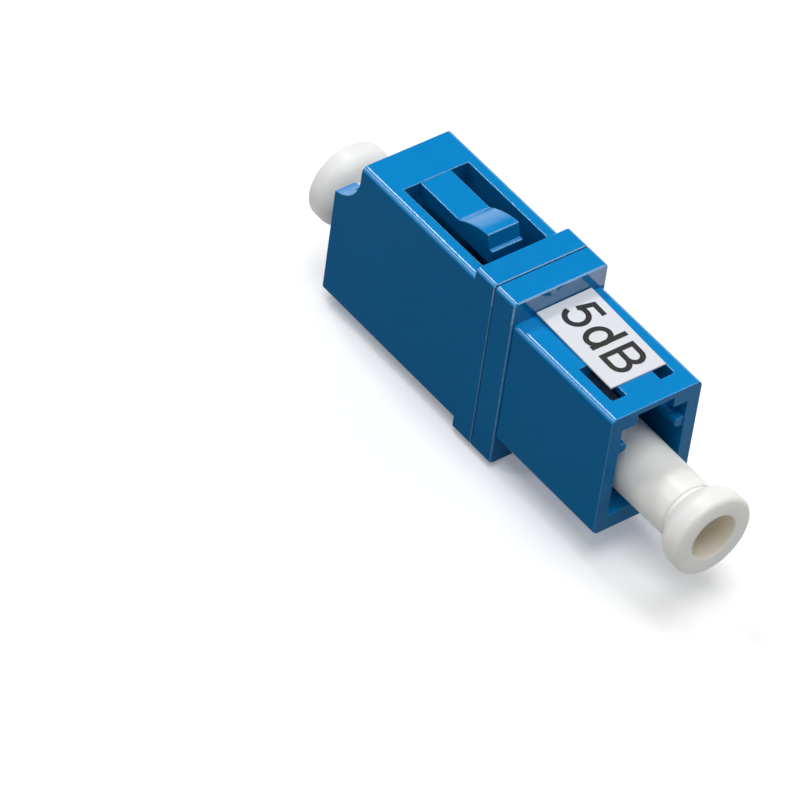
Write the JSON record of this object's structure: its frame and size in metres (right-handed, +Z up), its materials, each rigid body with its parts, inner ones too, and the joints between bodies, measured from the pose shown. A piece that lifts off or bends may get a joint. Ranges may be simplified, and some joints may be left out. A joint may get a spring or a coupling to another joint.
{
  "type": "fibre optic attenuator",
  "caption": "Blue port-to-port fibre optic attenuator: welded plastic halves with a panel collar, sprung panel latches, keyed plug ports, pull-out white dust caps and a rating label.",
  "frame": {"origin": "on the optical axis, in the plane of the collar's seam where the two halves are welded", "axes": "+X along the optical axis from the latched rear half to the labelled front half, +Z up to the keyway side of both ports, Y across the width"},
  "size_m": [0.0335, 0.0066, 0.0125],
  "materials": {
    "blue_housing_plastic": "moulded, half gloss",
    "white_cap_plastic": "soft satin",
    "zirconia": "ground",
    "doped_glass_fibre": "polished",
    "label_paper": "smooth, printed"
  },
  "bodies": {
    "housing": {"rear_housing": "blue_housing_plastic", "front_housing": "blue_housing_plastic", "split_sleeve": "zirconia", "ferrule_stub": "zirconia", "attenuating_fibre": "doped_glass_fibre", "rating_label": "label_paper"},
    "upper_latch": {"upper_panel_latch": "blue_housing_plastic"},
    "lower_latch": {"lower_panel_latch": "blue_housing_plastic"},
    "rear_cap": {"rear_dust_cap": "white_cap_plastic"},
    "front_cap": {"front_dust_cap": "white_cap_plastic"}
  },
  "joints": [
    {"name": "front_cap_pull", "type": "slide", "parent": "housing", "child": "front_cap", "axis": [1, 0, 0], "range_m": [0, 0.012]},
    {"name": "rear_cap_pull", "type": "slide", "parent": "housing", "child": "rear_cap", "axis": [-1, 0, 0], "range_m": [0, 0.015]},
    {"name": "upper_latch_flex", "type": "hinge", "parent": "housing", "child": "upper_latch", "pos_m": [-0.00945, 0, 0.00504], "axis": [0, 1, 0], "range_deg": [0, 7], "stiffness_Nm_per_rad": 0.15},
    {"name": "lower_latch_flex", "type": "hinge", "parent": "housing", "child": "lower_latch", "pos_m": [-0.00945, 0, -0.00384], "axis": [0, -1, 0], "range_deg": [0, 7], "stiffness_Nm_per_rad": 0.15}
  ]
}
